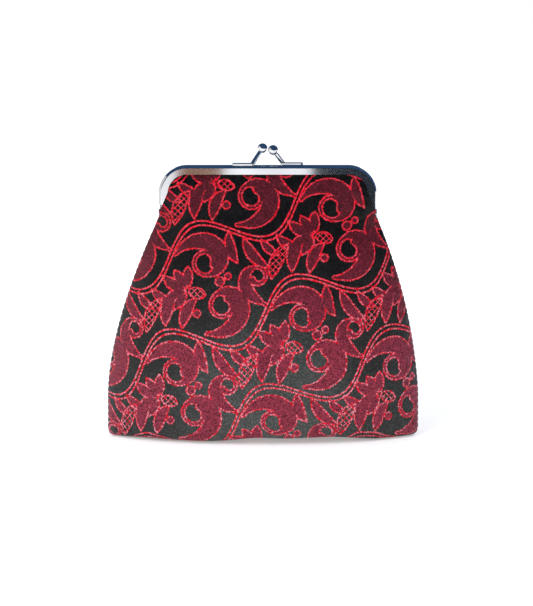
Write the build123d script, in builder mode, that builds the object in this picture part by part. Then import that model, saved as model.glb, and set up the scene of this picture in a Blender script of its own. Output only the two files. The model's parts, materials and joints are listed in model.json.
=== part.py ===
"""Kiss-lock coin purse: a boxed brocade pouch hung in a two-part chrome snap frame.

Millimetres. +Z is up and -Y is the front. The origin is the middle of the base, on the
surface that the purse stands on. Both halves of the frame turn about one axis, which
runs along X through the rivets at the ends of their arms. A half is told by its side:
-1 is the front half and +1 is the rear half.
"""

import math
import os

from build123d import *

FRONT, REAR = -1, 1
HALVES = {FRONT: "front", REAR: "rear"}

# Snap frame: two bent channels whose open sides face the cloth.
FRAME_WIDTH = 86.0
FRAME_TOP = 109.0
FRAME_CORNER = 11.0
CHANNEL_FACE = 3.5
CHANNEL_DEPTH = 3.4
CHANNEL_FOOT = 93.6
SHEET = 0.45
PARTING = 0.15
SHOULDER_ROUND = 1.1
PARTING_ROUND = 0.3

# Hinge: an ear on each arm end, the front pair inside the rear pair, and two rivets.
HINGE_HEIGHT = 90.0
EAR_RADIUS = 2.2
EAR_SHEET = 0.8
EAR_GAP = 0.1
FRONT_EAR_X = 41.0
REAR_EAR_X = FRONT_EAR_X + EAR_SHEET + EAR_GAP
EAR_X = {FRONT: FRONT_EAR_X, REAR: REAR_EAR_X}
EAR_NECK = (0.9, 3.1)
EAR_ROOT = (0.45, 3.25)
EAR_ROOT_HEIGHT = 2.4
RIVET_RADIUS = 0.95
RIVET_CLEARANCE = 0.05
RIVET_HOLE = {FRONT: RIVET_RADIUS + RIVET_CLEARANCE, REAR: RIVET_RADIUS}
RIVET_HEAD_RADIUS = 1.7
RIVET_HEAD = 0.5

# Clasp: a plate on each half, with a leaning stem that carries a ball past the other ball.
PLATE_INNER_X = 5.2
PLATE_LENGTH = 8.8
PLATE_WIDTH = 2.6
PLATE_HEIGHT = 1.0
STEM_RADIUS = 0.85
STEM_FOOT = 0.65
BALL_RADIUS = 2.0
BALL_X = 2.08
BALL_REACH = 0.9
BALL_HEIGHT = {FRONT: 6.6, REAR: 6.0}

# Paper cord that packs the cloth edges into the root of each channel.
CORD_INSET = (0.55, 2.1)
CORD_SPAN = (0.9, 2.8)

# Cloth layers, from the outside in.
LAYERS = {"brocade": 0.6, "wadding": 0.45, "lining": 0.35}
LAYER_GAP = 0.02

# Neck: the cloth inside each half of the frame, which turns with that half.
NECK_FACE = 2.78
NECK_INSET = 2.2
NECK_FOOT = 92.0
NECK_HEAD = FRAME_TOP - NECK_INSET
NECK_CROWN = 2.6
NECK_CROWN_POWER = 1.5
NECK_TRIM = 1.0
THIN = 0.05

# Pouch: the cloth below the hinge, wide and full at the base, slim at the mouth.
POUCH_TOP = 86.5
POUCH_HALF_WIDTH = 62.5
POUCH_HALF_DEPTH = 18.2
MOUTH_HALF_WIDTH = 44.3
MOUTH_HALF_DEPTH = 6.8
BASE_CORNER = 5.0
WIDTH_BULGE_HEIGHT = 15.0
DEPTH_BULGE_HEIGHT = 20.0
TAPER_POWER = 1.7
WALL_STEPS = 7
STEP_GROWTH = 1.6

# Seam thread.
THREAD_RADIUS = 0.12
STITCH_SPAN = 2.0
STITCH_PITCH = 2.5
STITCH_INSET = 0.3

FRAME_MIDDLE = PARTING + CHANNEL_DEPTH / 2


def arch(plane, inset, foot):
    """The round-cornered arch, inset from the frame's outer edge and cut level at foot."""
    with BuildSketch(plane) as face:
        with Locations((0, foot)):
            Rectangle(
                FRAME_WIDTH - 2 * inset,
                FRAME_TOP - inset - foot,
                align=(Align.CENTER, Align.MIN),
            )
        fillet(face.vertices().group_by(Axis.Y)[-1], FRAME_CORNER - inset)
    return face.sketch


def behind(side, distance):
    """The plane at a distance from the parting plane, on one side of it."""
    return Plane.XZ.offset(-side * distance)


def rim(solid, side, height):
    """The edges above a height on the outer face of one side of a solid."""
    above = solid.edges().filter_by(lambda edge: edge.center().Z > height)
    return above.group_by(Axis.Y)[-1 if side == REAR else 0]


def neck_section(side, height, face, thickness):
    """Level section of one cloth layer in the neck: a shallow arc of even thickness."""
    half_width = FRAME_WIDTH / 2 - NECK_INSET + NECK_TRIM
    drop = max(0.0, NECK_HEAD - height) / (NECK_HEAD - NECK_FOOT)
    crown = THIN + NECK_CROWN * drop**NECK_CROWN_POWER
    back = face - thickness
    with BuildSketch(Plane.XY.offset(height)) as section:
        with BuildLine():
            outside = ThreePointArc(
                (-half_width, side * face),
                (0, side * (face + crown)),
                (half_width, side * face),
            )
            inside = ThreePointArc(
                (-half_width, side * back),
                (0, side * (back + crown)),
                (half_width, side * back),
            )
            Line(outside @ 0, inside @ 0)
            Line(outside @ 1, inside @ 1)
        make_face()
    return section.sketch


def taper(height, bulge_height, widest, mouth):
    """Half size of the pouch at a height: even below the bulge, then drawn in to the mouth."""
    rise = max(0.0, height - bulge_height) / (POUCH_TOP - bulge_height)
    return widest - (widest - mouth) * rise**TAPER_POWER


def pouch_size(height):
    """Half width and half depth of the pouch's outside at a height, with its round foot."""
    drop = max(0.0, BASE_CORNER - height)
    corner = BASE_CORNER - math.sqrt(BASE_CORNER**2 - drop**2)
    half_width = taper(height, WIDTH_BULGE_HEIGHT, POUCH_HALF_WIDTH, MOUTH_HALF_WIDTH)
    half_depth = taper(height, DEPTH_BULGE_HEIGHT, POUCH_HALF_DEPTH, MOUTH_HALF_DEPTH)
    return half_width - corner, half_depth - corner


def pouch_form(inset):
    """The closed form of the pouch, inset everywhere but at its mouth."""
    foot = [BASE_CORNER * (1 - math.cos(math.radians(angle))) for angle in (0, 35, 65, 90)]
    rise = POUCH_TOP - BASE_CORNER
    climbs = [(step / WALL_STEPS) ** STEP_GROWTH for step in range(1, WALL_STEPS + 1)]
    wall = [BASE_CORNER + rise * climb for climb in climbs]
    levels = []
    for height in foot + wall:
        half_width, half_depth = pouch_size(height)
        raised = inset + height * (POUCH_TOP - inset) / POUCH_TOP
        with BuildSketch(Plane.XY.offset(raised)) as level:
            Ellipse(half_width - inset, half_depth - inset)
        levels.append(level.sketch)
    return loft(levels, mode=Mode.PRIVATE)


def finish(piece, name):
    """Names a finished piece and writes it to its own file."""
    piece.part.label = name
    export_step(piece.part, f"parts/{name}.step")


os.makedirs("parts", exist_ok=True)

for side, half in HALVES.items():
    # A strip bent into an arch, folded into a channel that opens towards the cloth.
    with BuildPart() as snap_frame:
        extrude(arch(behind(side, PARTING), 0, CHANNEL_FOOT), amount=-side * CHANNEL_DEPTH)
        fillet(rim(snap_frame, side, CHANNEL_FOOT + SHEET), SHOULDER_ROUND)
        fillet(rim(snap_frame, -side, CHANNEL_FOOT + SHEET), PARTING_ROUND)
        window = arch(Plane.XZ, CHANNEL_FACE, CHANNEL_FOOT - SHEET)
        extrude(window, amount=2 * CHANNEL_DEPTH, both=True, mode=Mode.SUBTRACT)
        slot = arch(behind(side, PARTING + SHEET), SHEET, CHANNEL_FOOT - SHEET)
        extrude(slot, amount=-side * (CHANNEL_DEPTH - 2 * SHEET), mode=Mode.SUBTRACT)
        for end in (-1, 1):
            ear_plane = Plane.YZ.offset(end * EAR_X[side])
            with BuildSketch(ear_plane) as ear:
                with Locations((0, HINGE_HEIGHT)):
                    Circle(EAR_RADIUS)
                neck_middle = side * sum(EAR_NECK) / 2
                with Locations((neck_middle, CHANNEL_FOOT)):
                    Rectangle(EAR_NECK[1] - EAR_NECK[0], 2 * SHEET)
                make_hull()
                with Locations((side * sum(EAR_ROOT) / 2, CHANNEL_FOOT)):
                    Rectangle(
                        EAR_ROOT[1] - EAR_ROOT[0],
                        EAR_ROOT_HEIGHT,
                        align=(Align.CENTER, Align.MIN),
                    )
                with Locations((0, HINGE_HEIGHT)):
                    Circle(RIVET_HOLE[side], mode=Mode.SUBTRACT)
            extrude(ear.sketch, amount=end * EAR_SHEET)
    finish(snap_frame, f"{half}_frame")

    # Clasp arm: a plate brazed on the top of the frame, and a stem leaning to the middle.
    ball_centre = Vector(side * BALL_X, -side * BALL_REACH, FRAME_TOP + BALL_HEIGHT[side])
    stem_x = side * (PLATE_INNER_X + STEM_RADIUS)
    stem_y = side * FRAME_MIDDLE
    with BuildPart() as clasp_arm:
        with BuildSketch(Plane.XY.offset(FRAME_TOP)) as plate:
            with Locations((side * (PLATE_INNER_X + PLATE_LENGTH / 2), stem_y)):
                RectangleRounded(PLATE_LENGTH, PLATE_WIDTH, STEM_RADIUS)
        extrude(plate.sketch, amount=PLATE_HEIGHT)
        fillet(clasp_arm.faces().sort_by(Axis.Z)[-1].edges(), PLATE_HEIGHT * 0.35)
        with BuildLine() as stem_line:
            Line((stem_x, stem_y, FRAME_TOP + STEM_FOOT), ball_centre)
        with BuildSketch(Plane(stem_line.line @ 0, z_dir=stem_line.line % 0)) as stem_end:
            Circle(STEM_RADIUS)
        sweep(stem_end.sketch, path=stem_line.line)
    finish(clasp_arm, f"{half}_clasp_arm")

    # Clasp ball, socketed on the end of the stem.
    with BuildPart() as clasp_ball:
        with Locations(ball_centre):
            Sphere(BALL_RADIUS)
        add(clasp_arm.part, mode=Mode.SUBTRACT)
    finish(clasp_ball, f"{half}_clasp_ball")

    # Paper cord in the root of the channel.
    with BuildPart() as paper_cord:
        cord_foot = CHANNEL_FOOT + EAR_ROOT_HEIGHT + SHEET
        thickness = CORD_SPAN[1] - CORD_SPAN[0]
        strand = arch(behind(side, CORD_SPAN[0]), CORD_INSET[0], cord_foot)
        extrude(strand, amount=-side * thickness)
        cord_hollow = arch(Plane.XZ, CORD_INSET[1], cord_foot - SHEET)
        extrude(cord_hollow, amount=2 * CHANNEL_DEPTH, both=True, mode=Mode.SUBTRACT)
    finish(paper_cord, f"{half}_paper_cord")

    # Cloth inside the frame half, layer by layer from the outside in.
    face = NECK_FACE
    for cloth, thickness in LAYERS.items():
        with BuildPart() as neck_cloth:
            middle = (NECK_FOOT + NECK_HEAD) / 2
            heights = (NECK_FOOT - NECK_TRIM, middle, NECK_HEAD + NECK_TRIM)
            loft([neck_section(side, height, face, thickness) for height in heights])
            outline = arch(Plane.XZ, NECK_INSET, NECK_FOOT)
            extrude(outline, amount=-side * 4 * CHANNEL_DEPTH, mode=Mode.INTERSECT)
        finish(neck_cloth, f"{half}_{cloth}_neck")
        face -= thickness + LAYER_GAP

# Pouch cloth below the hinge: nested forms, halved at the seams.
inset = 0.0
for cloth, thickness in LAYERS.items():
    outside = pouch_form(inset)
    hollow = pouch_form(inset + thickness)
    for side, half in HALVES.items():
        with BuildPart() as pouch_cloth:
            add(outside)
            add(hollow, mode=Mode.SUBTRACT)
            split(bisect_by=behind(side, 0), keep=Keep.TOP if side == FRONT else Keep.BOTTOM)
        finish(pouch_cloth, f"{half}_{cloth}_pouch")
    inset += thickness

# Side seams: stitches that cross from the front cloth to the rear cloth.
for end, name in ((-1, "left_seam_stitches"), (1, "right_seam_stitches")):
    with BuildPart() as side_stitches:
        for number in range(int((POUCH_TOP - 2 * BASE_CORNER) / STITCH_PITCH)):
            height = 1.5 * BASE_CORNER + number * STITCH_PITCH
            seam_x = end * (pouch_size(height)[0] - STITCH_INSET)
            with BuildSketch(Plane.XZ) as stitch:
                with Locations((seam_x, height)):
                    Circle(THREAD_RADIUS)
            extrude(stitch.sketch, amount=STITCH_SPAN / 2, both=True)
    finish(side_stitches, name)

# Base seam: the same stitches along the middle of the base.
with BuildPart() as base_stitches:
    base_half = pouch_size(0)[0] - BASE_CORNER
    count = 2 * int(base_half / STITCH_PITCH) + 1
    with BuildSketch(Plane.XZ) as stitches:
        with Locations((0, STITCH_INSET)):
            with GridLocations(STITCH_PITCH, 1, count, 1):
                Circle(THREAD_RADIUS)
    extrude(stitches.sketch, amount=STITCH_SPAN / 2, both=True)
finish(base_stitches, "base_seam_stitches")

# Hinge rivets: pressed into the rear ears, running in the front ears.
for end, name in ((-1, "left_hinge_rivet"), (1, "right_hinge_rivet")):
    inner_head = FRONT_EAR_X - EAR_GAP - RIVET_HEAD
    outer_head = REAR_EAR_X + EAR_SHEET
    with BuildPart() as rivet:
        for start, length, radius in (
            (inner_head, RIVET_HEAD, RIVET_HEAD_RADIUS),
            (inner_head, outer_head - inner_head + RIVET_HEAD, RIVET_RADIUS),
            (outer_head, RIVET_HEAD, RIVET_HEAD_RADIUS),
        ):
            with BuildSketch(Plane.YZ.offset(end * start)) as disc:
                with Locations((0, HINGE_HEIGHT)):
                    Circle(radius)
            extrude(disc.sketch, amount=end * length)
    finish(rivet, name)
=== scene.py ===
"""Looks of the kiss-lock coin purse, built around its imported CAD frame.

Cloth work is laid out in millimetres and turned into metres when a mesh is made. Each
side's cloth is a grid: rows run across the purse and climb from the base seam, over the
foot and up the wall, into the channel of the frame; columns run from seam to seam.
"""

import json
import math

import bpy
import numpy as np
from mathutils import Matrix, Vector


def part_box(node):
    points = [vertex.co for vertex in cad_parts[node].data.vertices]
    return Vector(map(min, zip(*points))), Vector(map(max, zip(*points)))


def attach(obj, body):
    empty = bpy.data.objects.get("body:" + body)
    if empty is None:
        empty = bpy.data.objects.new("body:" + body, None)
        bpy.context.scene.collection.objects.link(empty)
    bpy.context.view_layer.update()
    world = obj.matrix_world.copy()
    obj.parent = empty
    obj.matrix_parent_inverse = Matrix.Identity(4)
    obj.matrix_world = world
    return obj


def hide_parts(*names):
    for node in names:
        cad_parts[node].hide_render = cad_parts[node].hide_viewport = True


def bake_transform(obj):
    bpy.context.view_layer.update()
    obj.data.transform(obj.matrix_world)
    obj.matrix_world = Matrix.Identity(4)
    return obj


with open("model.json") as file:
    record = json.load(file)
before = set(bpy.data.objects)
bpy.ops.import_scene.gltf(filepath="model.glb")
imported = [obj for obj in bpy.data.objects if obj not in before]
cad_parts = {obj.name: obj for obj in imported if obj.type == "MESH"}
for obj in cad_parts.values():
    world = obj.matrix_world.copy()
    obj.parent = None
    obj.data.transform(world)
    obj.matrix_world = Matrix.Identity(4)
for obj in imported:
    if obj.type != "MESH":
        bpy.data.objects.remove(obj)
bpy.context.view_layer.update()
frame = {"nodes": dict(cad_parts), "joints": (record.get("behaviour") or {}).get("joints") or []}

MM = 0.001
FRONT, REAR = -1, 1
HALVES = {FRONT: "front", REAR: "rear"}


def box_mm(node):
    """Lowest and highest corner of a CAD node in millimetres."""
    low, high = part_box(node)
    return np.array(low) / MM, np.array(high) / MM


# Sizes read from the frame.
HINGE = np.array(frame["joints"][0]["pos_m"]) / MM
FRAME_HIGH = box_mm("front_frame")[1]
POUCH_LOW, POUCH_HIGH = box_mm("front_brocade_pouch")
FRAME_TOP = FRAME_HIGH[2]
FRAME_HALF_WIDTH = FRAME_HIGH[0]
MOUTH_HEIGHT = POUCH_HIGH[2]

# The laid-out cloth starts a little inside its CAD solid, and its edge under the channel's roof.
SOLID_MARGIN = 0.1
CHANNEL_ROOF = 1.0
POUCH_HALF_WIDTH = POUCH_HIGH[0] - SOLID_MARGIN
POUCH_HALF_DEPTH = -POUCH_LOW[1] - SOLID_MARGIN

# The pouch's outline, as in the CAD: even below the bulge, then drawn in to the mouth.
MOUTH_HALF_WIDTH = 44.3
MOUTH_HALF_DEPTH = 6.8
WIDTH_BULGE = 15.0
DEPTH_BULGE = 20.0
TAPER_POWER = 1.7

# The cloth's edge in the channel of the frame.
CHANNEL_EDGE_X = 41.3
CHANNEL_MIDDLE_Y = 1.85
CLOTH_TOP = FRAME_TOP - CHANNEL_ROOF
CLOTH_CORNER = 9.5

# Beside the frame's arms the cloth folds out and forward over them, up to a slanted end.
ARM_FOLD = 5.9
ARM_FOLD_RISE = 1.5
ARM_FOLD_TOP = 104
ARM_FOLD_FADE = 13
FOLD_END = (108, 101)
FOLD_TILT = 3.4

# The cloth keeps this far from the hinge's axis, to pass over the ears.
EAR_REACH = 3.0

# A row's crown is (1 - across**CROWN_POWER)**exponent. The exponent grows towards the foot,
# where the crown thins out more towards the sides.
CROWN_POWER = 2.3
CROWN_EXPONENT = 0.62
FOOT_EXPONENT = 0.2

# The purse leans a little to one side, most at its foot.
LEAN = -1.9

# The foot's rounded edge.
FOOT_ROUND = 3.2

# The middle of the base is drawn up a little, so the purse stands on its corners.
# Each lift: where across the base, how wide and how high.
BASE_LIFTS = [(0, 34, 1.2), (29, 14, 1.5), (-4, 9, 0.7)]

# Rows and columns of each layer's grid, and how far inside the brocade's face it lies.
BROCADE_GRID = (292, 300)
WADDING_GRID, WADDING_INSET = (120, 120), 0.55
LINING_GRID, LINING_INSET = (160, 160), 1.15


# ---------------------------------------------------------------- cloth shape


def smooth(low, high, value):
    """Rises smoothly from 0 at low to 1 at high, whichever is larger."""
    t = np.clip((value - low) / (high - low), 0, 1)
    return t * t * (3 - 2 * t)


def taper(height, bulge, widest, mouth):
    """Half a width or a depth at a height: widest up to the bulge, drawn in to the mouth."""
    rise = np.clip((height - bulge) / (MOUTH_HEIGHT - bulge), 0, None)
    return widest - (widest - mouth) * rise**TAPER_POWER


def middle_depth(height):
    """How far the middle of the cloth stands out at a height, foot corner left out."""
    pouch = taper(height, DEPTH_BULGE, POUCH_HALF_DEPTH, MOUTH_HALF_DEPTH)
    slope = (POUCH_HALF_DEPTH - MOUTH_HALF_DEPTH) * TAPER_POWER / (MOUTH_HEIGHT - DEPTH_BULGE)
    above = np.clip(height - MOUTH_HEIGHT, 0, None)
    length = CLOTH_TOP - MOUTH_HEIGHT
    bend = (CHANNEL_MIDDLE_Y - MOUTH_HALF_DEPTH + slope * length) / length**2
    neck = MOUTH_HALF_DEPTH - slope * above + bend * above**2
    return np.where(height < MOUTH_HEIGHT, pouch, neck)


def row_levels(rows):
    """Height, base spread, foot inset and climb of each row, even along the middle."""
    base_depth = POUCH_HALF_DEPTH - FOOT_ROUND
    flat = np.linspace(0, base_depth, 60)
    turn = np.linspace(0, math.pi / 2, 30)[1:]
    wall = np.linspace(FOOT_ROUND, CLOTH_TOP, 400)[1:]
    height = np.concatenate([0 * flat, FOOT_ROUND * (1 - np.cos(turn)), wall])
    spread = np.concatenate([flat / base_depth, np.ones(len(turn) + len(wall))])
    corner = FOOT_ROUND * np.concatenate([0 * flat + 1, 1 - np.sin(turn), 0 * wall])
    depth = (middle_depth(height) - corner) * spread
    run = np.concatenate([[0], np.cumsum(np.hypot(np.diff(height), np.diff(depth)))])
    at = np.linspace(0, run[-1], rows)
    return [np.interp(at, run, v) for v in (height, spread, corner)] + [at - base_depth]


def panel(side, rows, columns, fold=1.0):
    """The cloth of one side as (rows, columns, 3) points, and its flat coordinates."""
    height, spread, corner, climb = row_levels(rows)
    into_channel = smooth(HINGE[2] - 3, HINGE[2] + 4, height)
    edge_x = taper(height, WIDTH_BULGE, POUCH_HALF_WIDTH, MOUTH_HALF_WIDTH) - 0.6 * corner
    edge_x = edge_x + (CHANNEL_EDGE_X - edge_x) * into_channel
    edge_y = CHANNEL_MIDDLE_Y * into_channel
    crown = (middle_depth(height) - corner) * spread - edge_y
    exponent = CROWN_EXPONENT + FOOT_EXPONENT * smooth(60, 8, height)
    # Beside the arms of the frame the cloth folds forward and out over them.
    forward = fold * smooth(HINGE[2] - 7, HINGE[2] + 2, height)
    over_arm = forward * np.clip((ARM_FOLD_TOP - height) / ARM_FOLD_FADE, 0, 1)
    fine = np.linspace(-1, 1, 801)
    points = np.empty((rows, columns, 3))
    across = np.empty((rows, columns))
    for r in range(rows):
        inset = edge_x[r] * (1 - np.abs(fine))
        x = edge_x[r] * fine
        sideways = smooth(2.0, 4.6, inset) * smooth(15, 4.6, inset)
        x += np.sign(fine) * ARM_FOLD * over_arm[r] * sideways
        y = edge_y[r] + crown[r] * (1 - np.abs(fine) ** CROWN_POWER) ** exponent[r]
        ending = smooth(*FOLD_END, height[r] + FOLD_TILT * smooth(7.5, 2.5, inset))
        y += ARM_FOLD_RISE * ending * forward[r] * smooth(1.3, 2.2, inset) * smooth(16, 3, inset)
        run = np.concatenate([[0], np.cumsum(np.hypot(np.diff(x), np.diff(y)))])
        at = np.linspace(0, run[-1], columns)
        points[r, :, 0] = np.interp(at, run, x)
        points[r, :, 1] = np.interp(at, run, y)
        across[r] = at - run[-1] / 2
    points[..., 2] = height[:, None]
    x, y, z = (points[..., k].copy() for k in range(3))
    # The upper corners are cut round, as the frame is.
    over = np.clip(np.abs(x) - (CHANNEL_EDGE_X - CLOTH_CORNER), 0, CLOTH_CORNER)
    limit = CLOTH_TOP - CLOTH_CORNER + np.sqrt(CLOTH_CORNER**2 - over**2)
    points[..., 2] = np.minimum(z, limit)
    # The cloth passes over the ears of the hinge.
    radius = np.hypot(y, z - HINGE[2])
    over_ear = smooth(FRAME_HALF_WIDTH + 1.4, FRAME_HALF_WIDTH - 0.2, np.abs(x))
    over_ear = over_ear * smooth(FRAME_HALF_WIDTH - 7, FRAME_HALF_WIDTH - 3.4, np.abs(x))
    points[..., 1] = y + np.clip(EAR_REACH - radius, 0, None) * over_ear
    points[..., 1] *= side
    climbs = np.broadcast_to(climb[:, None], across.shape)
    flat = np.stack([across, climbs], -1)
    return points, flat


def outward(points, side):
    """Unit normals of a grid, pointing out of the purse."""
    n = np.cross(np.gradient(points, axis=1), np.gradient(points, axis=0))
    n /= np.maximum(np.linalg.norm(n, axis=-1, keepdims=True), 1e-9)
    return n * (1 if side == FRONT else -1)


def lean(height):
    """How far a height stands off the middle plane between left and right."""
    return LEAN * smooth(HINGE[2] + 4, 20, height)


def base_lift(points):
    """How far the lower cloth is drawn up."""
    x, z = points[..., 0], points[..., 2]
    lift = sum(high * np.exp(-(((x - at) / wide) ** 2)) for at, wide, high in BASE_LIFTS)
    return lift * smooth(30, 0, z)


# ---------------------------------------------------------------- brocade pattern

# A plain repeat of a running vine. Its rows are tilted, and every second row is half a wave
# along. Each wave holds a curled scroll, and leaves grow on its outer side. Between the rows
# stand a small scroll and a latticed leaf, or a palmette. The strokes are in millimetres.
WAVE_LENGTH = 54.0
HALF_WAVE = WAVE_LENGTH / 2
WAVE_RISE = 8.5
ROW_PITCH = 35.0
ROW_TILT = math.radians(24)
ROWS_EACH_WAY = 3
WAVES_EACH_WAY = 3
PATTERN_MIDDLE = 55.0

# The two stems of a vine: how far apart and how thick.
STEM_GAP = 1.9
STEM_RADIUS = 0.36
STEM_STEPS = 32

# A stroke's steps, the share of an eyed stroke that swells, and how round the swelling is.
FROND_STEPS = 24
EYED_SWELL = 0.62
SWELL_POWER = 0.8

# Leaves on a crest: how far along from its top, how long and how broad.
LEAVES = [(-4.5, 13, 2.2), (1.8, 15, 2.6), (8.0, 13, 2.3)]
LOWER_LEAF_SIZE = 0.72

# Leaves that hang under the vine: how far along, how steep and how long.
HANGING_LEAVES = [(12.0, 1.95, 13), (16.5, 1.6, 16)]

# A palmette's petals each side of its middle one, and the angle from one to the next.
SIDE_PETALS = 2
PETAL_ANGLE = 0.56
PALMETTE_HEADING = math.radians(140)


def frond(start, heading, length, curls, body, tail=0.3, eye=0.0):
    """A stroke that leaves start, swells to its body, thins to its tail and ends in an eye.

    It is a list of (along, up, radius). curls are its curvatures at its start and at its
    end, in radians per millimetre.
    """
    x, z = start
    step = length / FROND_STEPS
    swell_end = EYED_SWELL if eye else 1.0
    stroke = []
    for k in range(FROND_STEPS + 1):
        t = k / FROND_STEPS
        swell = math.sin(math.pi * t / swell_end) ** SWELL_POWER if t < swell_end else 0.0
        radius = max(tail, body * swell)
        if eye:
            radius = max(radius, eye * (1 - 4 * (1 - t)))
        stroke.append((x, z, radius))
        x += step * math.cos(heading)
        z += step * math.sin(heading)
        heading += step * (curls[0] + (curls[1] - curls[0]) * t)
    return stroke


def berry(x, z, radius):
    """A round stroke, too short to look drawn out."""
    return [(x, z, radius), (x, z - 0.1, radius)]


def toward(start, heading, distance):
    """The point at a distance from start along heading."""
    return start[0] + distance * math.cos(heading), start[1] + distance * math.sin(heading)


def vine_point(x, height, phase):
    """The point of a vine at x, where height is its row's middle."""
    return x, height + WAVE_RISE * math.sin(2 * math.pi * x / WAVE_LENGTH + phase)


def vine_stems(height, phase):
    """The two stems of one row."""
    reach = (WAVES_EACH_WAY + 0.5) * WAVE_LENGTH
    places = np.arange(-reach, reach, WAVE_LENGTH / STEM_STEPS)
    stems = []
    for drop in (0, STEM_GAP):
        line = [vine_point(x, height - drop, phase) for x in places]
        stems.append([(x, z, STEM_RADIUS) for x, z in line])
    return stems


def belly_scroll(middle, height, way):
    """The large scroll that leaves the vine and curls up inside its wave."""
    slope = math.atan(2 * math.pi * WAVE_RISE / WAVE_LENGTH)
    start = (middle - HALF_WAVE / 2 + 2.6, height - way * 0.6)
    return frond(start, way * (slope - 0.35), 55, (-way * 0.062, -way * 0.285), 3.5, 0.7, 1.6)


def crest_leaves(middle, height, phase, way):
    """Leaves along the outer side of a crest, longer on the upper side of a row."""
    size = 1.0 if way > 0 else LOWER_LEAF_SIZE
    out = []
    for k, (shift, length, body) in enumerate(LEAVES):
        # The latticed leaf takes the first one's place on the upper side.
        if way > 0 and k == 0:
            continue
        x, z = vine_point(middle + shift, height, phase)
        heading = way * (1.35 - 0.15 * k)
        curls = (-way * 0.02, -way * 0.13)
        out.append(frond((x, z + way * 1.4), heading, size * length, curls, size * body))
    return out


def hanging_leaves(middle, height, phase):
    """Leaves that hang under the vine where it runs down."""
    out = []
    for shift, steepness, length in HANGING_LEAVES:
        root = vine_point(middle + shift, height - 2.2, phase)
        out.append(frond(root, -steepness, length, (0.02, 0.10), 2.1))
    return out


def palmette(centre, heading):
    """Petals spread about heading, and a latticed heart behind them."""
    petals = []
    for k in range(-SIDE_PETALS, SIDE_PETALS + 1):
        way_out = heading + PETAL_ANGLE * k
        root = toward(centre, way_out, 1.6)
        petals.append(frond(root, way_out, 9.0 - 0.6 * abs(k), (0.0, 0.05 * k), 1.95))
    heart = frond(toward(centre, heading, -6.5), heading, 6.5, (0, 0), 2.2)
    return petals, heart


def vine_pattern():
    """Strokes of the scrolls and leaves, the latticed leaves and the stems."""
    scrolls, latticed, stems = [], [], []
    for row in range(-ROWS_EACH_WAY, ROWS_EACH_WAY + 1):
        height = row * ROW_PITCH
        phase = math.pi * (row % 2)
        stems += vine_stems(height, phase)
        for half_wave in range(-2 * WAVES_EACH_WAY, 2 * WAVES_EACH_WAY + 1):
            # A crest where way is 1, a trough where it is -1.
            way = 1 if (half_wave + row) % 2 else -1
            middle = (half_wave - 0.5) * HALF_WAVE
            scrolls.append(belly_scroll(middle, height, way))
            scrolls += crest_leaves(middle, height, phase, way)
            if way < 0:
                centre = (middle - 11, height + 0.54 * ROW_PITCH)
                petals, heart = palmette(centre, PALMETTE_HEADING)
                scrolls += petals
                latticed.append(heart)
                scrolls.append(berry(middle + 1.5, height + 0.50 * ROW_PITCH, 1.8))
                scrolls.append(berry(middle + 5.2, height + 0.52 * ROW_PITCH, 1.3))
            else:
                start = vine_point(middle - 12.5, height + 1.0, phase)
                scrolls.append(frond(start, 2.25, 34, (-0.02, -0.42), 2.6, 0.7, 1.3))
                root = (middle - 6.5, height + 10.5)
                latticed.append(frond(root, 1.0, 15, (-0.02, -0.08), 2.6))
                scrolls.append(berry(middle + 15.5, height + 9.5, 1.5))
                scrolls += hanging_leaves(middle, height, phase)
    return scrolls, latticed, stems


VINES = vine_pattern()


def distance_to(strokes, x, z, far=3.0):
    """Signed distance from each cloth point to the nearest stroke's outline, inside negative."""
    best = np.full(x.shape, far)
    for stroke in strokes:
        line = np.array(stroke, float)
        reach = line[:, 2].max() + far
        low, high = line[:, :2].min(0) - reach, line[:, :2].max(0) + reach
        near = (x > low[0]) & (x < high[0]) & (z > low[1]) & (z < high[1])
        if not near.any():
            continue
        px, pz = x[near], z[near]
        nearest = np.full(px.shape, far)
        for (ax, az, ar), (bx, bz, br) in zip(line[:-1], line[1:]):
            dx, dz = bx - ax, bz - az
            t = np.clip(((px - ax) * dx + (pz - az) * dz) / max(dx * dx + dz * dz, 1e-9), 0, 1)
            gap = np.hypot(px - ax - t * dx, pz - az - t * dz) - (ar + t * (br - ar))
            nearest = np.minimum(nearest, gap)
        best[near] = np.minimum(best[near], nearest)
    return best


def pattern(points, flat, side):
    """The three pattern fields of one side's cloth: scrolls, latticed leaves and stems."""
    across, climb = flat[..., 0], flat[..., 1]
    # Beside the frame's arms the cloth is doubled over, and the pattern follows what shows.
    doubled = smooth(HINGE[2] - 9, HINGE[2] + 1, points[..., 2])
    x = -side * (across + (points[..., 0] - across) * doubled)
    z = climb - PATTERN_MIDDLE
    along = x * math.cos(ROW_TILT) + z * math.sin(ROW_TILT)
    up = z * math.cos(ROW_TILT) - x * math.sin(ROW_TILT)
    return [distance_to(strokes, along, up) for strokes in VINES]


# ---------------------------------------------------------------- node trees


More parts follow.
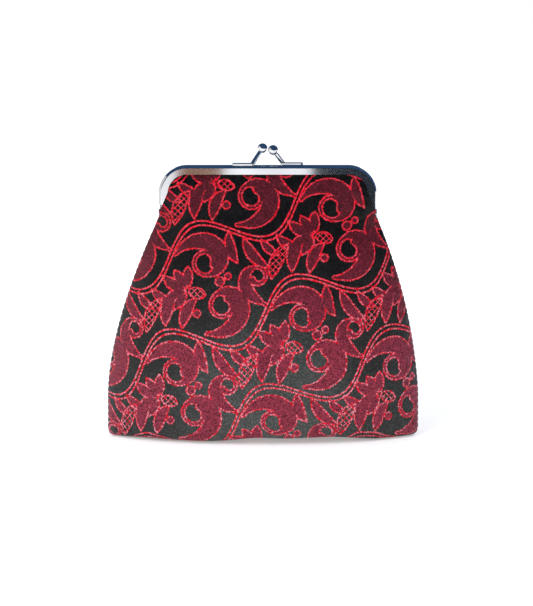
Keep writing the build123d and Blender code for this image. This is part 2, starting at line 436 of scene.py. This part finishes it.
class Shader:
    """A material's node tree, built by calls that return sockets."""

    def __init__(self, name):
        self.material = bpy.data.materials.new(name)
        self.material.use_nodes = True
        self.tree = self.material.node_tree
        self.surface = self.tree.nodes["Principled BSDF"]

    def node(self, kind, **settings):
        made = self.tree.nodes.new("ShaderNode" + kind)
        for key, value in settings.items():
            setattr(made, key, value)
        return made

    def put(self, value, socket):
        """Links a socket, or sets a number or a colour."""
        if isinstance(value, bpy.types.NodeSocket):
            self.tree.links.new(value, socket)
        elif hasattr(value, "__len__") and len(value) == 3 and socket.type == "RGBA":
            socket.default_value = (*value, 1)
        else:
            socket.default_value = value

    def math(self, operation, *values):
        made = self.node("Math", operation=operation)
        for value, socket in zip(values, made.inputs):
            self.put(value, socket)
        return made.outputs[0]

    def vector(self, operation, *values):
        made = self.node("VectorMath", operation=operation)
        for value, socket in zip(values, made.inputs):
            self.put(value, socket)
        return made.outputs[0]

    def field(self, name):
        return self.node("Attribute", attribute_name=name).outputs["Fac"]

    def place(self, name):
        return self.node("Attribute", attribute_name=name).outputs["Vector"]

    def step(self, value, low, high, start=0.0, end=1.0):
        made = self.node("MapRange", interpolation_type="SMOOTHSTEP")
        keys = ("Value", "From Min", "From Max", "To Min", "To Max")
        for setting, key in zip((value, low, high, start, end), keys):
            self.put(setting, made.inputs[key])
        return made.outputs[0]

    def mix(self, factor, a, b):
        made = self.node("Mix", data_type="RGBA")
        self.put(factor, made.inputs[0])
        self.put(a, made.inputs[6])
        self.put(b, made.inputs[7])
        return made.outputs[2]

    def noise(self, where, scale, detail=2.0):
        made = self.node("TexNoise")
        self.put(where, made.inputs["Vector"])
        self.put(scale, made.inputs["Scale"])
        self.put(detail, made.inputs["Detail"])
        return made.outputs[0]

    def speckle(self, where):
        made = self.node("TexWhiteNoise", noise_dimensions="3D")
        self.put(where, made.inputs["Vector"])
        return made.outputs["Value"]

    def bump(self, height, distance):
        made = self.node("Bump")
        made.inputs["Strength"].default_value = 1
        made.inputs["Distance"].default_value = distance
        self.put(height, made.inputs["Height"])
        return made.outputs[0]

    def finish(self, **sockets):
        for key, value in sockets.items():
            self.put(value, self.surface.inputs[key.replace("_", " ")])
        return self.material


def srgb(r, g, b):
    """A colour given as 0-255 display values, as the shader wants it."""
    return tuple((c / 255 / 12.92) if c <= 10 else ((c / 255 + 0.055) / 1.055) ** 2.4 for c in (r, g, b))


# The brocade's weave, in millimetres. EDGE_CELLS, COLUMN_RATE and ROW_RATE count cells to a
# millimetre, TWILL_RATE and WEFT_RATE are radians to a millimetre, and WEAVE_DEPTH is in
# metres. The outline is a band about each shape's edge, whose threads end in small cells.
EDGE_CELLS = (2.6, 2.6, 1)
EDGE_JITTER = 0.42
OUTLINE_INSET = 0.06
OUTLINE_HALF_WIDTH = 0.30
NET_SPACING = 1.22
NET_WIDTH = 0.24
TWILL_RATE = 8.4
WEFT_RATE = 13.0
COLUMN_RATE = 2.3
ROW_RATE = 1.9
TWILL_STEP = 0.37
WEAVE_DEPTH = 0.00012

# Painted light: from about LIT_TOP down, in soft clouds, the satin is painted with a sheen and the threads
# are painted lighter.
LIT_TOP = 108
SHINE_MIDDLE = 2

# The second satin colour and its fleck are a painted sheen on the black ground.
BLACK_SATIN, PAINTED_SHEEN_SATIN = srgb(4, 3, 3), srgb(74, 76, 72)
BLACK_FLECK, PAINTED_SHEEN_FLECK = srgb(34, 30, 28), srgb(116, 118, 112)
# The second fill colour and the second fill fleck are the fill painted lighter, where light is painted
# lower down.
DEEP_FILL, PAINTED_LIT_FILL, FILL_GAP = srgb(84, 14, 26), srgb(150, 50, 68), srgb(52, 6, 14)
FILL_FLECK, PAINTED_LIT_FLECK = srgb(142, 40, 60), srgb(200, 70, 96)
# The palest float colour is painted thread highlights.
DARK_FLOAT, BRIGHT_FLOAT, PAINTED_HIGHLIGHT_FLOAT = srgb(184, 0, 22), srgb(250, 12, 44), srgb(255, 172, 186)


def brocade_material():
    """Black satin ground, dull crimson twill in the shapes, and bright floats round them."""
    s = Shader("brocade")
    cloth = s.place("cloth")
    cells = s.vector("FLOOR", s.vector("MULTIPLY", cloth, EDGE_CELLS))
    jitter = s.math("MULTIPLY", s.math("SUBTRACT", s.speckle(cells), 0.5), EDGE_JITTER)
    scroll = s.math("ADD", s.field("scrolls"), jitter)
    lattice = s.math("ADD", s.field("latticed"), jitter)
    stem = s.math("ADD", s.field("stems"), s.math("MULTIPLY", jitter, 0.5))
    parts = s.node("SeparateXYZ")
    s.put(cloth, parts.inputs[0])
    u, v = parts.outputs[0], parts.outputs[1]

    def edge(distance):
        off = s.math("ABSOLUTE", s.math("ADD", distance, OUTLINE_INSET))
        return s.math("LESS_THAN", off, OUTLINE_HALF_WIDTH)

    def hatch(direction):
        along = s.math("ADD", u, s.math("MULTIPLY", v, direction))
        return s.math("LESS_THAN", s.math("PINGPONG", along, NET_SPACING), NET_WIDTH)

    # Where each kind of thread lies; the stems are all outline.
    inside = s.math("LESS_THAN", lattice, 0.0)
    netting = s.math("MULTIPLY", inside, s.math("MAXIMUM", hatch(1), hatch(-1)))
    fill = s.math("LESS_THAN", scroll, -OUTLINE_HALF_WIDTH)
    vein = s.math("LESS_THAN", stem, 0.0)
    edges = s.math("MAXIMUM", edge(scroll), edge(lattice))
    line = s.math("MAXIMUM", edges, s.math("MAXIMUM", vein, netting))

    # Crossings of the threads, each with its own tone.
    twill = s.math("SINE", s.math("MULTIPLY", s.math("ADD", u, v), TWILL_RATE))
    weft = s.math("SINE", s.math("MULTIPLY", v, WEFT_RATE))
    column = s.math("FLOOR", s.math("MULTIPLY", u, COLUMN_RATE))
    stepped = s.math("MULTIPLY", column, TWILL_STEP)
    row = s.math("FLOOR", s.math("ADD", s.math("MULTIPLY", v, ROW_RATE), stepped))
    crossing = s.node("CombineXYZ")
    s.put(column, crossing.inputs[0])
    s.put(row, crossing.inputs[1])
    grain = s.speckle(crossing.outputs[0])
    fleck = s.speckle(s.vector("MULTIPLY", crossing.outputs[0], (7.3, 5.1, 1)))

    # Painted light from place to place: threads painted lighter and the satin painted with a sheen, lower
    # down and in soft clouds.
    cloud = s.noise(cloth, 0.05, 3)
    painted_light = s.step(s.math("ADD", v, s.math("MULTIPLY", cloud, 30)), LIT_TOP, 36)
    painted_sheen = s.step(s.math("ADD", v, s.math("MULTIPLY", cloud, 50)), LIT_TOP, 22)
    # The painted sheen is strongest across the middle and fades to about a third towards the sides.
    beside = s.math("ABSOLUTE", s.math("SUBTRACT", u, SHINE_MIDDLE))
    painted_sheen = s.math("MULTIPLY", painted_sheen, s.step(beside, 12, 46, 1, 0.35))

    # Painted light: the fill and its flecks go lighter lower down.
    fill_tone = s.mix(painted_light, DEEP_FILL, PAINTED_LIT_FILL)
    fill_tone = s.mix(s.step(grain, 0.5, 0.9, 0, 0.8), fill_tone, FILL_GAP)
    fill_tone = s.mix(s.step(fleck, 0.7, 1, 0, 0.6), fill_tone, s.mix(painted_light, FILL_FLECK, PAINTED_LIT_FLECK))
    line_tone = s.mix(s.step(fleck, 0.05, 0.7), DARK_FLOAT, BRIGHT_FLOAT)
    # Painted highlights: pale specks on the floats, stronger where the lower light is painted.
    highlight_strength = s.math("ADD", 0.14, s.math("MULTIPLY", painted_light, 0.66))
    pale = s.math("MULTIPLY", s.step(grain, 0.55, 0.8), highlight_strength)
    line_tone = s.mix(pale, line_tone, PAINTED_HIGHLIGHT_FLOAT)
    # Painted sheen on the black satin ground.
    ground = s.mix(painted_sheen, BLACK_SATIN, PAINTED_SHEEN_SATIN)
    ground = s.mix(s.step(grain, 0.5, 1, 0, 0.7), ground, s.mix(painted_sheen, BLACK_FLECK, PAINTED_SHEEN_FLECK))
    tone = s.mix(fill, ground, fill_tone)
    tone = s.mix(line, tone, line_tone)

    raised = s.math("MAXIMUM", s.math("MULTIPLY", fill, 0.6), line)
    thread = s.math("MULTIPLY", s.math("ADD", twill, weft), 0.12)
    normal = s.bump(s.math("ADD", s.math("MULTIPLY", raised, 0.8), thread), WEAVE_DEPTH)
    rough = s.math("ADD", 0.40, s.math("MULTIPLY", raised, 0.14))
    return s.finish(
        Base_Color=tone, Roughness=rough, Normal=normal, Specular_IOR_Level=0.24,
        Sheen_Weight=0.1, Sheen_Roughness=0.4, Sheen_Tint=(1.0, 0.86, 0.88))


def satin_material():
    """The black lining, with fine floats that run one way."""
    s = Shader("lining_satin")
    cloth = s.place("cloth")
    drawn_out = s.noise(s.vector("MULTIPLY", cloth, (6, 0.5, 1)), 1.0)
    fine = s.math("SINE", s.math("MULTIPLY", drawn_out, 30))
    tone = s.mix(s.noise(cloth, 0.08), srgb(10, 10, 12), srgb(22, 21, 24))
    normal = s.bump(fine, 0.00002)
    return s.finish(
        Base_Color=tone, Roughness=0.38, Normal=normal, Sheen_Weight=0.2, Sheen_Roughness=0.4)


def plain_material(name, dark, light, roughness, scale, metallic=0.0, bump=0.0):
    """A material with a mottled colour and roughness, for the small parts."""
    s = Shader(name)
    where = s.node("TexCoord").outputs["Object"]
    cloud = s.noise(where, scale, 4)
    tone = s.mix(s.step(cloud, 0.35, 0.65), dark, light)
    rough = s.step(cloud, 0.2, 0.8, roughness * 0.8, roughness * 1.25)
    sockets = {"Base_Color": tone, "Roughness": rough, "Metallic": metallic}
    if bump:
        sockets["Normal"] = s.bump(cloud, bump)
    return s.finish(**sockets)


BROCADE = brocade_material()
SATIN = satin_material()
WADDING = plain_material(
    "wadding_felt", srgb(196, 194, 188), srgb(226, 224, 220), roughness=0.95, scale=900, bump=0.0001)
THREAD = plain_material(
    "sewing_thread", srgb(16, 10, 12), srgb(52, 12, 20), roughness=0.7, scale=2500, bump=0.00003)
PAPER = plain_material(
    "paper_cord", srgb(150, 124, 90), srgb(190, 164, 126), roughness=0.9, scale=1500, bump=0.00005)
CHROME = plain_material(
    "frame_chrome", srgb(216, 217, 219), srgb(234, 234, 235), roughness=0.06, scale=60, metallic=1.0)
STEEL = plain_material(
    "rivet_steel", srgb(178, 182, 188), srgb(206, 210, 214), roughness=0.16, scale=400, metallic=1.0)


# ---------------------------------------------------------------- meshes


def add_object(name, mesh):
    made = bpy.data.objects.new(name, mesh)
    bpy.context.scene.collection.objects.link(made)
    return made


def grid_faces(index):
    """The quads of a grid of point numbers."""
    corners = (index[:-1, :-1], index[:-1, 1:], index[1:, 1:], index[1:, :-1])
    return np.stack(corners, -1).reshape(-1, 4).tolist()


def catmull_rom(a, b, c, d, t):
    """The curve from b, where t is 0, to c, where it is 1."""
    square = 2 * a - 5 * b + 4 * c - d
    cube = 3 * b - a - 3 * c + d
    return 0.5 * (2 * b + (c - a) * t + square * t**2 + cube * t**3)


def grid_object(name, points, material, flat=None, fields=None):
    """A grid of points in millimetres as a smooth quad mesh in metres."""
    rows, columns = points.shape[:2]
    index = np.arange(rows * columns).reshape(rows, columns)
    mesh = bpy.data.meshes.new(name)
    mesh.from_pydata((points.reshape(-1, 3) * MM).tolist(), [], grid_faces(index))
    mesh.shade_smooth()
    mesh.materials.append(material)
    if flat is not None:
        place = mesh.attributes.new("cloth", "FLOAT_VECTOR", "POINT")
        third = np.zeros((rows, columns, 1))
        vectors = np.concatenate([flat, third], -1).astype(np.float32)
        place.data.foreach_set("vector", vectors.ravel())
    for key, values in (fields or {}).items():
        field = mesh.attributes.new(key, "FLOAT", "POINT")
        field.data.foreach_set("value", values.astype(np.float32).ravel())
    return add_object(name, mesh)


def resample(values, rows, columns):
    """A coarse grid of vectors carried onto a finer one by Catmull-Rom interpolation."""
    for count in (rows, columns):
        at = np.linspace(0, len(values) - 1, count)
        k = np.clip(at.astype(int), 0, len(values) - 2)
        t = (at - k)[:, None, None]
        a, b, c, d = (values[np.clip(k + j, 0, len(values) - 1)] for j in (-1, 0, 1, 2))
        values = catmull_rom(a, b, c, d, t).transpose(1, 0, 2)
    return values


# ---------------------------------------------------------------- cloth simulation

# The coarse cloth is simulated ten times as large as it is, because the solver is meant for
# clothes. No point moves further than the cap, in millimetres.
SIM_ROWS, SIM_COLUMNS = 46, 42
SIM_SCALE = 10.0
SIM_FRAMES = 20
SIM_PRESSURE = 4.0
SIM_CAP = 0.8

# What the simulation holds fast: the foot up to a height, and a margin by the channel.
HELD_FOOT = 1.5
HELD_TOP = 3.5
HELD_SIDE = 2.2


def simulate():
    """Movement of the coarse cloth of both sides, in millimetres, after a light inflation."""
    sides = [panel(side, SIM_ROWS, SIM_COLUMNS)[0] for side in (FRONT, REAR)]
    points = np.concatenate([side.reshape(-1, 3) for side in sides])
    welded, back = np.unique(np.round(points, 2), axis=0, return_inverse=True)
    grids = back.reshape(2, SIM_ROWS, SIM_COLUMNS)
    faces = {}
    for grid, turn in zip(grids, (1, -1)):
        for corners in grid_faces(grid):
            # Corners that were welded together leave a triangle, or nothing.
            face = list(dict.fromkeys(corners))[::turn]
            if len(face) > 2:
                faces.setdefault(frozenset(face), face)
    mesh = bpy.data.meshes.new("simulated")
    mesh.from_pydata((welded * MM * SIM_SCALE).tolist(), [], list(faces.values()))
    made = add_object("simulated", mesh)
    held = made.vertex_groups.new(name="held")
    for at, (x, y, z) in enumerate(welded):
        beside_arm = z > HINGE[2] - 1.5 and abs(x) > CHANNEL_EDGE_X - HELD_SIDE
        fast = beside_arm or z > CLOTH_TOP - HELD_TOP or z < HELD_FOOT
        held.add([at], 1.0 if fast else 0.0, "REPLACE")
    cloth = made.modifiers.new("cloth", "CLOTH")
    settings = cloth.settings
    settings.quality = 8
    settings.mass = 0.4
    settings.tension_stiffness = settings.compression_stiffness = 12
    settings.shear_stiffness = 6
    settings.bending_stiffness = 0.6
    settings.use_pressure = True
    settings.uniform_pressure_force = SIM_PRESSURE
    settings.shrink_min = -0.015
    settings.vertex_group_mass = "held"
    settings.effector_weights.gravity = 0
    cloth.collision_settings.use_collision = False
    scene = bpy.context.scene
    for step in range(1, SIM_FRAMES + 1):
        scene.frame_set(step)
    settled = made.evaluated_get(bpy.context.evaluated_depsgraph_get()).to_mesh()
    after = np.empty(len(welded) * 3)
    settled.vertices.foreach_get("co", after)
    moved = after.reshape(-1, 3) / MM / SIM_SCALE - welded
    scene.frame_set(1)
    bpy.data.objects.remove(made)
    length = np.linalg.norm(moved, axis=1, keepdims=True)
    moved *= SIM_CAP * np.tanh(length / SIM_CAP) / np.maximum(length, 1e-9)
    return {FRONT: moved[grids[0]], REAR: moved[grids[1]]}


MOVED = simulate()


# ---------------------------------------------------------------- the cloth

# Soft folds: where each starts and ends on the flat cloth, how high and how wide it is.
FOLDS = {
    FRONT: [
        ((-38, 96), (-44, 60), -0.5, 4), ((40, 97), (50, 58), -0.55, 4.5),
        ((-20, 60), (-48, 28), 0.35, 7), ((14, 50), (44, 14), 0.4, 8),
        ((-2, 84), (6, 52), -0.3, 6), ((-46, 14), (-20, 7), -0.4, 4), ((22, 9), (50, 13), 0.35, 5),
    ],
    REAR: [
        ((-40, 97), (-49, 56), -0.55, 4.5), ((37, 96), (45, 62), -0.5, 4),
        ((16, 66), (42, 30), 0.35, 8), ((-12, 52), (-46, 20), 0.4, 8),
        ((4, 84), (-4, 50), -0.3, 6), ((44, 12), (20, 8), -0.4, 4),
    ],
}

# Puckers: how high they stand at a side seam and at the base seam, and how soon they die away.
SIDE_PUCKER, SIDE_FADE = 0.22, 3.2
BASE_PUCKER, BASE_FADE = 0.18, 3.0
PUCKER_MARGIN = 1.2

# The simulation's share that is kept across the purse, so the seams stay where they are.
SIDEWAYS_SHARE = 0.15

# The foot's slight waves, how far it is held off the ground, and the least distance that any
# layer keeps from the ground and an inner layer from the middle plane.
FOOT_WAVE = 0.35
FOOT_GAP = 0.3
LEAST_GAP = 0.02

# How high the inner layers' foot reaches, where they are lifted by a share of their inset.
INNER_FOOT = 6
INNER_LIFT = 0.5


def folds(flat, side):
    """Height of the folds over the even cloth."""
    x, z = flat[..., 0], flat[..., 1]
    height = np.zeros(x.shape)
    for (ax, az), (bx, bz), amount, width in FOLDS[side]:
        dx, dz = bx - ax, bz - az
        along = ((x - ax) * dx + (z - az) * dz) / (dx * dx + dz * dz)
        t = np.clip(along, 0, 1)
        gap = np.hypot(x - ax - t * dx, z - az - t * dz)
        fading = 0.4 + 0.6 * np.sin(math.pi * np.clip(t, 0.05, 0.95))
        height += amount * np.exp(-((gap / width) ** 2)) * fading
    return height


def puckers(flat, points):
    """The seams draw the cloth in little waves that die away from the seam."""
    across, climb = flat[..., 0], flat[..., 1]
    to_side = across.max(1, keepdims=True) - np.abs(across)
    below_ear = smooth(HINGE[2] - 1, HINGE[2] - 8, points[..., 2])
    wave = np.sin(climb * 1.05 + 1.7 * np.sin(climb * 0.23)) + 0.5 * np.sin(climb * 2.2 + 1)
    fading = np.exp(-to_side / SIDE_FADE) * np.clip(to_side / PUCKER_MARGIN, 0, 1)
    side_waves = SIDE_PUCKER * wave * fading * below_ear
    from_base = climb - climb.min()
    wave = np.sin(across * 0.95 + 2.1 * np.sin(across * 0.17)) + 0.5 * np.sin(across * 2.1)
    fading = np.exp(-from_base / BASE_FADE) * np.clip(from_base / PUCKER_MARGIN, 0, 1)
    return side_waves + BASE_PUCKER * wave * fading


def settle(points, flat, side):
    """Simulated movement, folds, puckers and the slight lean, on one side's even cloth."""
    rows, columns = points.shape[:2]
    x, z = points[..., 0], points[..., 2]
    below_arms = smooth(HINGE[2] + 12, HINGE[2] - 4, z)
    off_top = smooth(CLOTH_TOP - 1, CLOTH_TOP - 10, z)
    off_side = smooth(CHANNEL_EDGE_X + 0.5, CHANNEL_EDGE_X - 6, np.abs(x))
    free = np.maximum(below_arms, off_top * off_side)
    moved = resample(MOVED[side], rows, columns) * free[..., None]
    moved[..., 0] *= SIDEWAYS_SHARE
    lumps = folds(flat, side) * free + puckers(flat, points)
    out = points + moved + outward(points, side) * lumps[..., None]
    out[..., 0] += lean(z)
    waves = FOOT_WAVE * np.sin(x * 0.11 + 0.6) * smooth(26, 0, z)
    out[..., 2] += waves + FOOT_GAP + base_lift(points)
    # Both sides stay on their own side of the middle plane and on the ground.
    out[..., 1] = np.where(side * out[..., 1] < 0, 0, out[..., 1])
    out[..., 2] = np.maximum(out[..., 2], LEAST_GAP)
    return out


def cloth_layer(side, name, grid, inset, material, patterned=False):
    """One layer of a side's cloth, a little way inside the brocade's outer face."""
    points, flat = panel(side, *grid, 0.0 if inset else 1.0)
    settled = settle(points, flat, side)
    if inset:
        inward = settled - inset * outward(settled, side)
        crossed = side * inward[..., 1] < LEAST_GAP
        inward[..., 1] = np.where(crossed, LEAST_GAP * side, inward[..., 1])
        lift = INNER_LIFT * inset * (settled[..., 2] < INNER_FOOT)
        inward[..., 2] = np.maximum(inward[..., 2], settled[..., 2] + lift)
        settled = inward
    fields = dict(zip(("scrolls", "latticed", "stems"), pattern(points, flat, side))) if patterned else None
    return grid_object(name, settled, material, flat, fields), settled


def declare_cloth(piece, side, slot):
    """Hides the CAD pouch and neck that a layer replaces, and bakes the layer's transform into its mesh."""
    half = HALVES[side]
    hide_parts(f"{half}_{slot}_pouch", f"{half}_{slot}_neck")
    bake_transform(piece)


SURFACES = {}
for side, half in HALVES.items():
    brocade, SURFACES[side] = cloth_layer(side, f"{half}_brocade_cloth", BROCADE_GRID, 0, BROCADE, True)
    declare_cloth(brocade, side, "brocade")
    wadding, _ = cloth_layer(side, f"{half}_wadding_cloth", WADDING_GRID, WADDING_INSET, WADDING)
    declare_cloth(wadding, side, "wadding")
    lining, _ = cloth_layer(side, f"{half}_lining_cloth", LINING_GRID, LINING_INSET, SATIN)
    declare_cloth(lining, side, "lining")


# ---------------------------------------------------------------- seams


THREAD_RADIUS = 0.12
THREAD_SIDES = 6
STITCH_PITCH = 2.5
STITCH_SPAN = 2.0
END_THICKNESS = 0.35

# The side stitches lie just outside their seams and stop under the hinge, and the base's lie
# just above its seam and stop a few columns short of the corners.
SIDE_STITCH_OFFSET = 0.06
BASE_STITCH_LIFT = 0.05
STITCH_TOP_DROP = 5.5
CORNER_COLUMNS = 4


def threads(name, runs):
    """Short round threads along runs of points in millimetres, as one mesh."""
    vertices, faces = [], []
    sides = THREAD_SIDES
    turn = [2 * math.pi * k / sides for k in range(sides)]
    for run in runs:
        start = len(vertices)
        for at, point in enumerate(run):
            ahead = run[min(at + 1, len(run) - 1)] - run[max(at - 1, 0)]
            ahead = ahead / max(np.linalg.norm(ahead), 1e-9)
            across = np.cross(ahead, (0, 1, 0.03))
            across /= np.linalg.norm(across)
            up = np.cross(ahead, across)
            thick = THREAD_RADIUS * (END_THICKNESS if at in (0, len(run) - 1) else 1)
            vertices += [point + thick * (math.cos(a) * across + math.sin(a) * up) for a in turn]
        for ring in range(len(run) - 1):
            for k in range(sides):
                a, b = start + ring * sides + k, start + ring * sides + (k + 1) % sides
                faces.append((a, b, b + sides, a + sides))
        last = start + (len(run) - 1) * sides
        faces += [tuple(range(start + sides - 1, start - 1, -1)), tuple(range(last, last + sides))]
    mesh = bpy.data.meshes.new(name)
    mesh.from_pydata([tuple(v * MM) for v in vertices], [], faces)
    mesh.shade_smooth()
    mesh.materials.append(THREAD)
    return add_object(name, mesh)


def stitches_along(line):
    """Stitches along a seam line of points in millimetres."""
    step = np.linalg.norm(np.diff(line, axis=0), axis=1)
    run = np.concatenate([[0], np.cumsum(step)])
    runs = []
    for start in np.arange(1.0, run[-1] - STITCH_SPAN, STITCH_PITCH):
        at = np.linspace(start, start + STITCH_SPAN, 5)
        runs.append(np.stack([np.interp(at, run, line[:, k]) for k in range(3)], -1))
    return runs


def seam_line(column):
    """The line where the two sides meet, at one side of the purse, below the hinge."""
    both = (SURFACES[FRONT][:, column] + SURFACES[REAR][:, column]) / 2
    return both[both[:, 2] < HINGE[2] - STITCH_TOP_DROP]


def sew(place, line):
    """The stitches of one seam, which stand for their CAD node."""
    thread = threads(f"{place}_seam_thread", stitches_along(line))
    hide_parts(f"{place}_seam_stitches")
    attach(thread, "pouch")


outside = np.array((SIDE_STITCH_OFFSET, 0, 0))
sew("left", seam_line(0) - outside)
sew("right", seam_line(-1) + outside)
base_line = (SURFACES[FRONT][0] + SURFACES[REAR][0]) / 2 + np.array((0, 0, BASE_STITCH_LIFT))
sew("base", base_line[CORNER_COLUMNS:-CORNER_COLUMNS])


# ---------------------------------------------------------------- metal and cord

FINISHES = {"frame": CHROME, "clasp": CHROME, "rivet": STEEL, "cord": PAPER}
for name, node in frame["nodes"].items():
    for key, material in FINISHES.items():
        if key in name:
            node.data.materials.clear()
            node.data.materials.append(material)


# ---------------------------------------------------------------- scene

MIDDLE = (0, 0, 0.055)
FLOOR_REACH = 30.0

# The floor's glow grows from under the purse outwards.
GLOW_RANGE = (0.1, 0.9)
GLOW_STRENGTH = (0.35, 1.1)

# Each lamp: its name, place, width and length, and watts.
LAMPS = [
    ("overhead", (0.0, -0.1, 0.75), (0.9, 0.7), 4.2),
    ("key", (-0.5, -0.75, 0.55), (0.5, 0.5), 4.6),
    ("fill", (0.6, -0.8, 0.25), (0.4, 0.5), 1.4),
    ("back", (0.2, 0.8, 0.5), (0.7, 0.5), 3.0),
]

CAMERA_TARGET = Vector((-0.0005, 0, 0.054))
CAMERA_DISTANCE = 0.673
CAMERA_ELEVATION = math.radians(8)
CAMERA_LENS = 100
SENSOR_WIDTH = 36


def aim(thing, target):
    direction = Vector(target) - thing.location
    thing.rotation_euler = direction.to_track_quat("-Z", "Y").to_euler()


def lamp(name, place, size, watts):
    """A rectangular lamp that the chrome doesn't mirror."""
    data = bpy.data.lights.new(name, "AREA")
    data.shape = "RECTANGLE"
    data.size, data.size_y = size
    data.energy = watts
    made = add_object(name, data)
    made.location = place
    aim(made, MIDDLE)
    made.visible_glossy = False


def quad_mesh(name, corners, material):
    mesh = bpy.data.meshes.new(name)
    mesh.from_pydata(corners, [], [(0, 1, 2, 3)])
    mesh.materials.append(material)
    return mesh


def floor_material():
    """White, with a glow that only the camera and reflections see."""
    s = Shader("white_floor")
    away = s.node("VectorMath", operation="LENGTH")
    s.put(s.node("TexCoord").outputs["Object"], away.inputs[0])
    glow = s.step(away.outputs["Value"], *GLOW_RANGE, *GLOW_STRENGTH)
    path = s.node("LightPath")
    looked_at = s.math("MAXIMUM", path.outputs["Is Camera Ray"], path.outputs["Is Glossy Ray"])
    return s.finish(
        Base_Color=(0.9, 0.9, 0.9), Roughness=0.9,
        Emission_Color=(1, 0.985, 0.955), Emission_Strength=s.math("MULTIPLY", glow, looked_at))


def card(name, corners, colour, strength):
    """A card that only reflections see."""
    shader = Shader(name)
    glowing = shader.finish(
        Base_Color=(0, 0, 0), Roughness=1.0, Emission_Color=colour, Emission_Strength=strength)
    made = add_object(name, quad_mesh(name, corners, glowing))
    made.visible_camera = made.visible_diffuse = False
    made.visible_shadow = made.visible_transmission = False


def studio_world():
    """White where the camera looks past the floor, a dim blue room to everything else."""
    world = bpy.data.worlds.new("studio")
    bpy.context.scene.world = world
    world.use_nodes = True
    nodes, links = world.node_tree.nodes, world.node_tree.links
    nodes.clear()
    kinds = ("Background", "Background", "LightPath", "MixShader", "OutputWorld")
    seen, reflected, path, mixed, out = (nodes.new("ShaderNode" + kind) for kind in kinds)
    seen.inputs["Color"].default_value = (1, 1, 1, 1)
    reflected.inputs["Color"].default_value = (0.03, 0.07, 0.15, 1)
    links.new(path.outputs["Is Camera Ray"], mixed.inputs[0])
    links.new(reflected.outputs[0], mixed.inputs[1])
    links.new(seen.outputs[0], mixed.inputs[2])
    links.new(mixed.outputs[0], out.inputs[0])


def add_camera():
    data = bpy.data.cameras.new("camera")
    data.lens = CAMERA_LENS
    data.sensor_width = SENSOR_WIDTH
    data.clip_start, data.clip_end = 0.01, 20
    camera = add_object("camera", data)
    away = Vector((0, -math.cos(CAMERA_ELEVATION), math.sin(CAMERA_ELEVATION)))
    camera.location = CAMERA_TARGET + CAMERA_DISTANCE * away
    aim(camera, CAMERA_TARGET)
    bpy.context.scene.camera = camera


corners = [(x * FLOOR_REACH, y * FLOOR_REACH, 0) for x, y in ((-1, -1), (1, -1), (1, 1), (-1, 1))]
add_object("floor", quad_mesh("floor", corners, floor_material()))
for settings in LAMPS:
    lamp(*settings)

# For the chrome: a pale card at the left, and in front a wide dark one and a small brown one.
card(
    "left_card", [(-0.9, -1.2, 0), (-0.9, 0.6, 0), (-0.9, 0.6, 0.7), (-0.9, -1.2, 0.7)],
    (0.96, 0.95, 0.93), 0.93)
card(
    "dark_card", [(0.034, -0.62, 0.0), (1.0, -0.62, 0.0), (1.0, -0.62, 0.2), (0.034, -0.62, 0.2)],
    (0.03, 0.04, 0.06), 0.6)
card(
    "brown_card", [(-0.068, -0.6, 0.02), (-0.04, -0.6, 0.02), (-0.028, -0.6, 0.1), (-0.068, -0.6, 0.1)],
    (0.3, 0.15, 0.09), 0.9)

studio_world()
add_camera()
bpy.context.scene.view_settings.view_transform = "Standard"
